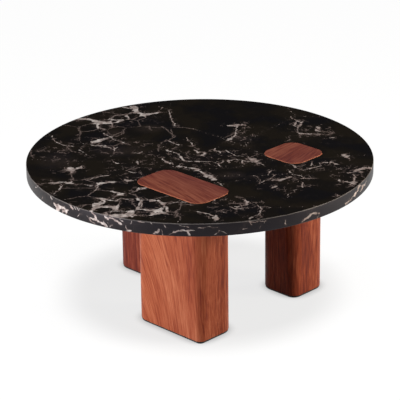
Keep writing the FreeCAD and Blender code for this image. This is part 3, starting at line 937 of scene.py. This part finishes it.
def wood(name, settings, board, low, high):
    """Oiled red-brown hardwood with fine grain, drawn in millimetres from the low corner of its board."""
    finish = Finish(name, specular_ior_level=0.1)
    x, y, z = finish.parts(finish.object_place(location=-low / MM))
    size = (high - low) / MM
    across, through, along, width, length = {
        "X": (y, z, x, size.y, size.x),
        "Y": (x, z, y, size.x, size.y),
        "Z": (x, y, z, size.x, size.z),
    }[board.grain]
    drift = finish.point(across * 0.01, through * 0.01, along * 0.004 + board.seed * SEED_DRIFT)
    slow = finish.noise(drift, 1) - 0.5
    lean = finish.ease(across, 0, width, *board.lean)
    row = across + (along - length / 2) * lean + slow * 20 + board.seed * SEED_ROW
    layer = through + slow * 14 + board.seed * SEED_LAYER

    def grain(fine, long, detail=2, roughness=0.5):
        """Noise drawn out along the grain: how fine it is across and along."""
        return finish.noise(finish.point(row * fine, layer * fine, along * long), 1, detail, roughness)

    # The figure, from broad ribbons to single threads, and the open pores
    ribbon = grain(0.024, 0.003) - 0.5
    line = grain(0.11, 0.004, 3, 0.55) - 0.5
    stripe = grain(0.26, 0.014, 2, 0.6) - 0.5
    streak = grain(0.5, 0.02, 3, 0.6) - 0.5
    thread = grain(1.4, 0.035, 3, 0.6) - 0.5
    pores = finish.ease(grain(1.1, 0.05), 0.6, 0.74)
    figure = ribbon * 0.5 + line * 0.22 + stripe * 0.75 + streak * 0.7 + thread * 0.4
    shade = 0.5 - board.tone + figure * board.figure
    if board.band:
        slope, place, half, strength = board.band
        off = finish.math("ABSOLUTE", across + along * slope + slow * 30 - place)
        shade = shade + finish.ease(off, half, 0.2 * half, -0.3 * strength, 0.7 * strength)

    tones = (settings.deep, settings.dark, settings.middle, settings.light)
    stops = [(place, tone[:]) for place, tone in zip(TONE_STOPS, tones)]
    colour = finish.node("ShaderNodeValToRGB", {"stops": stops}, {0: shade})
    heart = finish.ease(ribbon * 0.6 + line * 0.5 + stripe * 0.8 + streak * 0.8, -0.08, -0.3)
    redness = finish.ease(across, 0, width, *board.redness)
    colour = finish.mix(heart * 0.4 + redness, colour, getattr(settings, board.tint)[:])
    lit = 1 + (figure * board.figure - board.tone * 0.5) * redness * 0.8
    colour = finish.vector("MULTIPLY", colour, finish.point(lit, lit, lit))
    colour = finish.mix(pores * 0.35, colour, settings.pore[:])
    # Painted highlight: the inlay's sides and eased edges below its top face turn pale.
    if board.edge_wear_and_highlight:
        upper_edge = finish.ease(z, size.z - 0.1, size.z - 0.5)
        colour = finish.mix(upper_edge * board.edge_wear_and_highlight, colour, settings.light[:])
    roughness = settings.satin + streak * 0.15 + pores * 0.2
    relief = finish.bump(thread * 0.4 - pores, 0.22, 0.12 * MM)
    return finish.feed(base_color=colour, roughness=roughness, normal=relief)


# Plastic, rubber and steel


def pad_plastic(settings):
    """Black moulded plastic with a fine leather-like grain and a little dust."""
    finish = Finish("pad_plastic", specular_ior_level=0.4)
    spot = finish.object_place()
    grain = finish.node("ShaderNodeTexVoronoi", {"feature": "SMOOTH_F1"}, {"Vector": spot, "Scale": 1.4})
    dust = finish.ease(finish.noise(spot, scale=0.08, detail=4), 0.5, 0.8)
    colour = finish.mix(dust * 0.12, settings.pad[:], settings.dust[:])
    relief = finish.bump(grain, strength=0.3, depth=0.1 * MM)
    return finish.feed(base_color=colour, roughness=0.5 + dust * 0.25, normal=relief)


def rubber(settings):
    """Dark gasket rubber with a faint bloom."""
    finish = Finish("soft_rubber", specular_ior_level=0.3)
    spot = finish.object_place()
    bloom = finish.noise(spot, scale=0.12, detail=4)
    colour = finish.mix(finish.ease(bloom, 0.4, 0.8) * 0.15, settings.rubber[:], settings.dust[:])
    relief = finish.bump(finish.noise(spot, scale=2.2), strength=0.2, depth=0.05 * MM)
    return finish.feed(base_color=colour, roughness=0.7 + bloom * 0.2, normal=relief)


def plated_steel(settings):
    """Zinc-plated steel with drawing marks along its length and a warm bloom."""
    finish = Finish("plated_steel", metallic=1.0)
    spot = finish.object_place()
    drawn_out = finish.vector("MULTIPLY", spot, (1.2, 1.2, 0.06))
    marks = finish.noise(drawn_out, scale=1, detail=4)
    bloom = finish.ease(finish.noise(spot, scale=0.2, detail=3), 0.4, 0.7)
    colour = finish.mix(bloom * 0.7, settings.zinc[:], settings.zinc_warm[:])
    relief = finish.bump(marks, strength=0.1, depth=0.05 * MM)
    return finish.feed(base_color=colour, roughness=0.24 + marks * 0.22, normal=relief)


# Mesh building


CORNER_STEPS = 12
SMOOTH_ANGLE = math.radians(35)
# Extra vertices stand this far from the ends of a flat, if it is this many times as long.
SUPPORT_REACH = 1 * MM
LONG_FLAT = 10


def bevel(bm, geom, offset, segments, affect="EDGES"):
    """Round edges or vertices off by an offset."""
    bmesh.ops.bevel(
        bm,
        geom=geom,
        offset=offset,
        offset_type="OFFSET",
        segments=segments,
        profile=0.5,
        affect=affect,
        material=-1,
    )


def kind(geom, wanted):
    """The vertices, edges or faces among what an operator gives back."""
    return [item for item in geom if isinstance(item, wanted)]


def new_face(bm, known):
    """The face that was not known before."""
    return next(face for face in bm.faces if face not in known)


def rounded_face(bm, low, high, height, radii, steps=(CORNER_STEPS,) * 4):
    """A level face with its corners rounded: front left, front right, back right, back left."""
    corners = ((low.x, low.y), (high.x, low.y), (high.x, high.y), (low.x, high.y))
    verts = [bm.verts.new((x, y, height)) for x, y in corners]
    known = set(bm.faces)
    bm.faces.new(verts)
    for vert, radius, step in zip(verts, radii, steps):
        bevel(bm, [vert], radius, step, "VERTICES")
    return new_face(bm, known)


def support(face):
    """Split a face's long sides near both ends, so that the flats beside its corners shade as flats."""
    reach = SUPPORT_REACH
    for edge in [edge for edge in face.edges if edge.calc_length() > LONG_FLAT * reach]:
        start, end = edge.verts
        length = edge.calc_length()
        bmesh.utils.edge_split(edge, start, reach / length)
        rest = next(e for e in end.link_edges if e in face.edges and e.calc_length() > length - 2 * reach)
        bmesh.utils.edge_split(rest, end, reach / rest.calc_length())


def lift(bm, faces, rise):
    """Extrude faces straight up."""
    raised = bmesh.ops.extrude_face_region(bm, geom=faces)["geom"]
    bmesh.ops.translate(bm, verts=kind(raised, bmesh.types.BMVert), vec=(0, 0, rise))
    return kind(raised, bmesh.types.BMFace)


def sink(bm, edges, drop):
    """A pocket with a flat floor below a closed row of edges. A negative drop goes up."""
    walls = bmesh.ops.extrude_edge_only(bm, edges=edges)["geom"]
    verts = kind(walls, bmesh.types.BMVert)
    bmesh.ops.translate(bm, verts=verts, vec=(0, 0, -drop))
    rim = [edge for edge in kind(walls, bmesh.types.BMEdge) if all(vert in verts for vert in edge.verts)]
    bmesh.ops.contextual_create(bm, geom=rim)


def open_cap(bm, cap, holes, normal):
    """Fill a flat cap again, round the faces that mark its holes."""
    rows = [list(face.edges) for face in holes]
    edges = list(cap.edges) + [edge for row in rows for edge in row]
    bmesh.ops.delete(bm, geom=[cap, *holes], context="FACES_ONLY")
    bmesh.ops.triangle_fill(bm, use_beauty=True, use_dissolve=False, edges=edges, normal=normal)
    return rows


def add_object(name, bm, material):
    """Turn a bmesh into an object of the scene."""
    mesh = bpy.data.meshes.new(name)
    bm.to_mesh(mesh)
    bm.free()
    mesh.materials.append(material)
    item = bpy.data.objects.new(name, mesh)
    bpy.context.scene.collection.objects.link(item)
    return item


def finish_piece(name, bm, material, node):
    """Turn a bmesh into a piece of the table that stands for a CAD node."""
    bmesh.ops.recalc_face_normals(bm, faces=bm.faces[:])
    piece = add_object(name, bm, material)
    piece.data.shade_smooth()
    piece.data.set_sharp_from_angle(angle=SMOOTH_ANGLE)
    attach(piece, BODY)
    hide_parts(node)


def dress(node, material):
    """Give a CAD node a better material."""
    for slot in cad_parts[node].material_slots:
        slot.material = material


# Operators


class TABLE_OT_stone(bpy.types.Operator):
    """Model the marble disc with its pockets and insert holes"""

    bl_idname = "coffee_table.stone"
    bl_label = "Marble disc"

    RIM_STEPS = 256
    EDGE_STEPS = 6
    HOLE_STEPS = 24
    # Width of the ring of flat faces inside each rim edge, in edge radii
    FLAT_RING = 1.5
    # A leg that is more times as long as wide than this has its inserts set far apart
    SQUARE_LIMIT = 1.5

    def execute(self, context):
        settings = context.scene.table_stone
        low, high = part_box("marble_top")
        bm = bmesh.new()
        base = Matrix.Translation((0, 0, low.z))
        bmesh.ops.create_circle(bm, cap_ends=True, segments=self.RIM_STEPS, radius=high.x, matrix=base)
        lift(bm, bm.faces[:], high.z - low.z)
        level = [edge for edge in bm.edges if abs(edge.verts[0].co.z - edge.verts[1].co.z) < MM]
        bevel(bm, level, settings.edge_radius, self.EDGE_STEPS)
        ring = self.FLAT_RING * settings.edge_radius
        bmesh.ops.inset_individual(bm, faces=self.caps(bm), thickness=ring, use_even_offset=True)
        bottom, top = self.caps(bm)

        pockets = [self.pocket(bm, settings, name, high.z) for name in INLAY_NAMES]
        for row in open_cap(bm, top, pockets, (0, 0, 1)):
            sink(bm, row, settings.pocket_depth)
        holes = self.insert_holes(bm, settings, low.z)
        hole_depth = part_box("threaded_inserts")[1].z - low.z
        for row in open_cap(bm, bottom, holes, (0, 0, -1)):
            sink(bm, row, -hole_depth)
        finish_piece("stone_disc", bm, Marble(settings).draw(), "marble_top")
        return {"FINISHED"}

    def caps(self, bm):
        """The round faces below and on top."""
        caps = [face for face in bm.faces if len(face.verts) == self.RIM_STEPS]
        return sorted(caps, key=lambda face: face.calc_center_median().z)

    def pocket(self, bm, settings, name, height):
        """Outline of the pocket round one inlay."""
        low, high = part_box(f"{name}_inlay")
        gap = Vector((settings.pocket_gap,) * 3)
        radii = (settings.pocket_corner + settings.pocket_gap,) * 4
        return rounded_face(bm, low - gap, high + gap, height, radii)

    def insert_holes(self, bm, settings, height):
        """Outlines of the holes for the threaded inserts, two over each leg."""
        radius = settings.insert_radius + settings.hole_gap
        holes = []
        for leg in LEG_NAMES:
            low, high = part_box(f"{leg}_leg_gasket")
            middle, size = (low + high) / 2, high - low
            square = max(size.x, size.y) <= self.SQUARE_LIMIT * min(size.x, size.y)
            spread = settings.short_spread if square else settings.long_spread
            step = Vector((0, spread, 0)) if size.y > size.x else Vector((spread, 0, 0))
            for place in (middle - step, middle + step):
                known = set(bm.faces)
                centre = Matrix.Translation((place.x, place.y, height))
                bmesh.ops.create_circle(
                    bm, cap_ends=True, segments=self.HOLE_STEPS, radius=radius, matrix=centre
                )
                holes.append(new_face(bm, known))
        return holes


class TABLE_OT_inlays(bpy.types.Operator):
    """Model the two wooden inlays, with eased upper edges"""

    bl_idname = "coffee_table.inlays"
    bl_label = "Inlays"

    EDGE_STEPS = 4
    FLAT_RING = 1 * MM

    def execute(self, context):
        settings = context.scene.table_wood
        corner = context.scene.table_stone.pocket_corner
        for name in INLAY_NAMES:
            low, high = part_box(f"{name}_inlay")
            bm = bmesh.new()
            base = rounded_face(bm, low, high, low.z, (corner,) * 4)
            support(base)
            (top,) = lift(bm, [base], high.z - low.z)
            bevel(bm, list(top.edges), settings.inlay_edge, self.EDGE_STEPS)
            top = max(bm.faces, key=lambda face: face.calc_center_median().z)
            bmesh.ops.inset_individual(bm, faces=[top], thickness=self.FLAT_RING, use_even_offset=True)
            material = wood(f"{name}_inlay_wood", settings, INLAY_BOARDS[name], low, high)
            finish_piece(f"{name}_inlay_board", bm, material, f"{name}_inlay")
        return {"FINISHED"}


class TABLE_OT_legs(bpy.types.Operator):
    """Model the boards of the three legs, glued in pairs"""

    bl_idname = "coffee_table.legs"
    bl_label = "Legs"

    SEAM_STEPS = 2

    def execute(self, context):
        settings = context.scene.table_wood
        for name, board in LEG_BOARDS.items():
            leg, side = name.split("_")
            node = f"{leg}_leg_{side}_stave"
            low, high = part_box(node)
            bm = bmesh.new()
            self.model(bm, settings, name, low, high)
            material = wood(f"{leg}_{side}_wood", settings, board, low, high)
            finish_piece(f"{leg}_leg_{side}_board", bm, material, node)
        return {"FINISHED"}

    def model(self, bm, settings, name, low, high):
        """Three sections, foot, ankle and head, bridged to one board."""
        chamfer = settings.foot_chamfer
        rounds = [settings.leg_corner] * 4
        near = {"front_outer": settings.front_foot_corner, "right_inner": settings.right_foot_corner}
        ankle_rounds = [rounds[0], near.get(name, rounds[1]), rounds[2], rounds[3]]
        sections = (
            (low.z, chamfer, [radius - chamfer for radius in ankle_rounds]),
            (low.z + chamfer, 0, ankle_rounds),
            (high.z, 0, rounds),
        )
        faces = [self.section(bm, settings, GLUE_SIDES[name], low, high, *item) for item in sections]
        rows = [list(face.edges) for face in faces]
        bmesh.ops.delete(bm, geom=[faces[1]], context="FACES_ONLY")
        for lower, upper in zip(rows, rows[1:]):
            bmesh.ops.bridge_loops(bm, edges=lower + upper)

    def section(self, bm, settings, glue, low, high, height, inset, radii):
        """One level section of a board, drawn in by an inset except on its glued side."""
        glued = GLUED_CORNERS[glue]
        low = low + Vector((inset * (glue != "left"), inset * (glue != "front"), 0))
        high = high - Vector((inset * (glue != "right"), inset * (glue != "back"), 0))
        radii = [settings.seam_ease if seam else radius for seam, radius in zip(glued, radii)]
        steps = [self.SEAM_STEPS if seam else CORNER_STEPS for seam in glued]
        face = rounded_face(bm, low, high, height, radii, steps)
        support(face)
        return face


class TABLE_OT_fittings(bpy.types.Operator):
    """Give pads, gaskets and fasteners their plastic, rubber and steel"""

    bl_idname = "coffee_table.fittings"
    bl_label = "Pads, gaskets and fasteners"

    def execute(self, context):
        settings = context.scene.table_fittings
        plastic, soft, steel = pad_plastic(settings), rubber(settings), plated_steel(settings)
        for leg in LEG_NAMES:
            dress(f"{leg}_foot_pad", plastic)
            dress(f"{leg}_leg_gasket", soft)
        for node in STEEL_NODES:
            dress(node, steel)
        return {"FINISHED"}


# Stage


class SoftBox(NamedTuple):
    """A square lamp: the settings for its power and its light, its place and its width in metres."""

    power: str
    light: str
    place: tuple
    width: float


SOFT_BOXES = {
    "key_lamp": SoftBox("key_power", "plain_light", (-0.6, -2.43, 0.5), 0.4),
    "side_lamp": SoftBox("side_power", "warm_light", (2.05, 1.42, 0.7), 0.8),
    "top_lamp": SoftBox("top_power", "plain_light", (-0.1, -0.2, 2.6), 1.8),
}
LAMP_AIM = Vector((0, 0, 0.15))
# Light of the dim room: overhead, at the horizon, and as it is scattered on to the table. A view that
# rises by ROOM_LOW_RISE of its length meets only the light from overhead.
ROOM_OVERHEAD = (0.008, 0.008, 0.008)
ROOM_LOW = (0.02, 0.02, 0.02)
ROOM_SCATTERED = (0.08, 0.08, 0.08)
ROOM_LOW_RISE = 0.6
# How open a place by a foot is where its painted shade is full and where it ends, and its brightness in
# full shade.
NOOK_OPENNESS = (0.35, 0.95)
NOOK_BRIGHTNESS = 0.6


class TABLE_OT_stage(bpy.types.Operator):
    """Set up floor, lamps, surroundings and camera"""

    bl_idname = "coffee_table.stage"
    bl_label = "Stage"

    FLOOR_STEPS = 96
    SENSOR_WIDTH = 36
    VIEW_END = 200

    def execute(self, context):
        settings = context.scene.table_stage
        self.floor(settings)
        self.world(context.scene)
        self.lamps(context.scene, settings)
        self.camera(context.scene, settings)
        context.scene.view_settings.view_transform = "Standard"
        return {"FINISHED"}

    def floor(self, settings):
        """A wide pale floor, clear from below."""
        bm = bmesh.new()
        reach = settings.floor_reach
        bmesh.ops.create_circle(bm, cap_ends=True, segments=self.FLOOR_STEPS, radius=reach)
        bmesh.ops.translate(bm, verts=bm.verts, vec=(0, 0, -settings.floor_drop))
        floor = add_object("floor", bm, self.floor_finish(settings))

    def floor_finish(self, settings):
        """Where the floor is seen it glows, and so reads as white; the glow is lowered under the table and
        round the feet as painted shadow.
        """
        finish = Finish("studio_floor", roughness=0.6, specular_ior_level=0.0, emission_strength=1.0)
        looks, gloss, glass = [
            finish.node("ShaderNodeLightPath", out=f"Is {ray} Ray")
            for ray in ("Camera", "Glossy", "Transmission")
        ]
        seen = finish.most(looks, finish.most(gloss, glass) * settings.floor_mirrored)
        bounced = [settings.floor_bounce * c for c in settings.floor]
        shown = [settings.floor_shade * c for c in settings.floor]
        shade = finish.mix(seen, bounced, shown)
        reach = finish.vector("LENGTH", finish.object_place(scale=(1, 1, 0)), out="Value")
        # Painted shadow: the glow drops under the table, and ambient occlusion darkens it round each foot.
        glow = finish.ease(reach, settings.shade_start, settings.shade_end, settings.painted_shadow_glow, 1.0)
        nook = finish.node("ShaderNodeAmbientOcclusion", None, {"Distance": settings.nook}, "AO")
        glow = glow * finish.ease(nook, *NOOK_OPENNESS, NOOK_BRIGHTNESS, 1.0)
        seen_glow_with_painted_shadow = finish.mix(glow * seen, BLACK, settings.floor[:])
        below = finish.node("ShaderNodeNewGeometry", out="Backfacing")
        return finish.feed(base_color=shade, emission_color=seen_glow_with_painted_shadow, alpha=1 - below)

    def world(self, scene):
        """White where the camera sees past the floor, a dim room for everything else."""
        scene.world = bpy.data.worlds.new("studio")
        scene.world.use_nodes = True
        sheet = Sheet(scene.world.node_tree)
        rise = sheet.parts(sheet.node("ShaderNodeTexCoord", out="Generated"))[2]
        room = sheet.mix(sheet.ease(rise, ROOM_LOW_RISE, 0.0), ROOM_OVERHEAD, ROOM_LOW)
        scattered = sheet.node("ShaderNodeLightPath", out="Is Diffuse Ray")
        room = sheet.mix(scattered, room, ROOM_SCATTERED)
        seen = sheet.node("ShaderNodeLightPath", out="Is Camera Ray")
        background = sheet.tree.nodes["Background"]
        sheet.tree.links.new(sheet.mix(seen, room, WHITE).socket, background.inputs["Color"])

    def lamps(self, scene, settings):
        """Soft boxes that point at the table and are not seen themselves."""
        for name, box in SOFT_BOXES.items():
            lamp = bpy.data.lights.new(name, "AREA")
            lamp.shape = "SQUARE"
            lamp.size = box.width
            lamp.energy = getattr(settings, box.power)
            lamp.color = getattr(settings, box.light)
            item = bpy.data.objects.new(name, lamp)
            item.location = box.place
            item.rotation_euler = (LAMP_AIM - Vector(box.place)).to_track_quat("-Z", "Y").to_euler()
            item.visible_camera = False
            scene.collection.objects.link(item)

    def camera(self, scene, settings):
        """A long lens that looks down at the table, a little rolled."""
        around, up_angle, roll = settings.azimuth, settings.elevation, settings.roll
        right = Vector((math.cos(around), math.sin(around), 0))
        forward = Vector((-math.sin(around), math.cos(around), 0)) * math.cos(up_angle)
        forward.z = -math.sin(up_angle)
        up = right.cross(forward)
        right, up = (
            right * math.cos(roll) + up * math.sin(roll),
            up * math.cos(roll) - right * math.sin(roll),
        )
        top = Vector((0, 0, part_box("marble_top")[1].z))
        aim = top + right * settings.aim_right - up * settings.aim_down
        place = aim - forward * settings.distance
        lens = bpy.data.cameras.new("camera")
        lens.lens = settings.lens
        lens.sensor_width = self.SENSOR_WIDTH
        lens.clip_end = self.VIEW_END
        camera = bpy.data.objects.new("camera", lens)
        turn = Matrix((right, up, -forward)).transposed().to_4x4()
        camera.matrix_world = Matrix.Translation(place) @ turn
        scene.collection.objects.link(camera)
        scene.camera = camera


# Panel and registration


class TABLE_PT_panel(bpy.types.Panel):
    """The steps that dress the table, in order"""

    bl_label = "Coffee table"
    bl_idname = "TABLE_PT_panel"
    bl_space_type = "VIEW_3D"
    bl_region_type = "UI"
    bl_category = "Coffee table"

    def draw(self, context):
        for operator in OPERATORS:
            self.layout.operator(operator.bl_idname)


OPERATORS = (TABLE_OT_stone, TABLE_OT_inlays, TABLE_OT_legs, TABLE_OT_fittings, TABLE_OT_stage)
SETTINGS = {
    "table_stone": StoneSettings,
    "table_wood": WoodSettings,
    "table_fittings": FittingSettings,
    "table_stage": StageSettings,
}


def register():
    for group in SETTINGS.values():
        bpy.utils.register_class(group)
    for name, group in SETTINGS.items():
        setattr(bpy.types.Scene, name, bpy.props.PointerProperty(type=group))
    for item in (*OPERATORS, TABLE_PT_panel):
        bpy.utils.register_class(item)


def unregister():
    for item in (TABLE_PT_panel, *reversed(OPERATORS)):
        bpy.utils.unregister_class(item)
    for name in SETTINGS:
        delattr(bpy.types.Scene, name)
    for group in SETTINGS.values():
        bpy.utils.unregister_class(group)


def main():
    register()
    bpy.ops.coffee_table.stone()
    bpy.ops.coffee_table.inlays()
    bpy.ops.coffee_table.legs()
    bpy.ops.coffee_table.fittings()
    bpy.ops.coffee_table.stage()


if __name__ == "__main__":
    main()
